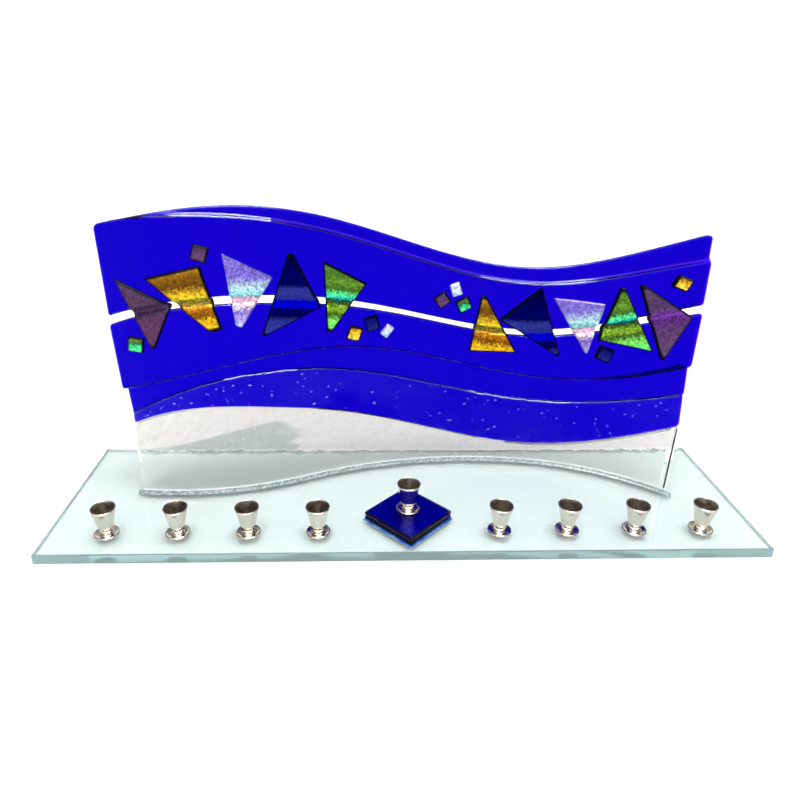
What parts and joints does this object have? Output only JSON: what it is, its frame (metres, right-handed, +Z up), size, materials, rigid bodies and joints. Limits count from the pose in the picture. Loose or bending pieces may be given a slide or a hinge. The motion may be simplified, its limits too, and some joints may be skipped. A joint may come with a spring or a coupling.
{
  "type": "menorah",
  "caption": "Fused-glass Hanukkah menorah: a wavy blue glass panel with dichroic chips on a clear glass base with a row of metal candle cups and a raised middle one.",
  "frame": {"origin": "middle of the base plate's underside", "axes": "+X along the plate's length, +Y back from the candle cups to the panel, +Z up"},
  "size_m": [0.4, 0.11, 0.1779],
  "materials": {
    "plate_glass": "clear float glass, aqua edges",
    "clear_glass": "clear fused glass, fire-polished edges",
    "cobalt_glass": "transparent cobalt fused glass",
    "purple_dichroic": "dichroic-coated black glass",
    "gold_dichroic": "dichroic-coated black glass",
    "lilac_dichroic": "dichroic-coated clear glass",
    "green_dichroic": "dichroic-coated black glass",
    "navy_glass": "transparent navy glass",
    "nickel": "bright nickel plate",
    "adhesive": "clear silicone or UV adhesive"
  },
  "bodies": {
    "root": {"base_plate": "plate_glass", "cup_adhesive": "adhesive", "cup_bowl_1": "nickel", "cup_bowl_2": "nickel", "cup_bowl_3": "nickel", "cup_bowl_4": "nickel", "cup_bowl_5": "nickel", "cup_bowl_6": "nickel", "cup_bowl_7": "nickel", "cup_bowl_8": "nickel", "cup_bowl_9": "nickel", "cup_foot_1": "nickel", "cup_foot_2": "nickel", "cup_foot_3": "nickel", "cup_foot_4": "nickel", "cup_foot_5": "nickel", "cup_foot_6": "nickel", "cup_foot_7": "nickel", "cup_foot_8": "nickel", "cup_foot_9": "nickel", "foot_clear_sheet": "clear_glass", "front_clear_sheet": "clear_glass", "lower_blue_sheet": "cobalt_glass", "middle_blue_sheet": "cobalt_glass", "panel_adhesive": "adhesive", "square_01_purple": "purple_dichroic", "square_02_green": "green_dichroic", "square_03_gold": "gold_dichroic", "square_04_navy": "navy_glass", "square_05_lilac": "lilac_dichroic", "square_06_purple": "purple_dichroic", "square_07_lilac": "lilac_dichroic", "square_08_green": "green_dichroic", "square_09_navy": "navy_glass", "square_10_gold": "gold_dichroic", "tile_adhesive": "adhesive", "tile_lower": "cobalt_glass", "tile_upper": "cobalt_glass", "triangle_01_purple": "purple_dichroic", "triangle_02_gold": "gold_dichroic", "triangle_03_lilac": "lilac_dichroic", "triangle_04_navy": "navy_glass", "triangle_05_green": "green_dichroic", "triangle_06_gold": "gold_dichroic", "triangle_07_navy": "navy_glass", "triangle_08_lilac": "lilac_dichroic", "triangle_09_green": "green_dichroic", "triangle_10_purple": "purple_dichroic", "upper_blue_sheet": "cobalt_glass", "upper_clear_sheet": "clear_glass"}
  },
  "joints": []
}
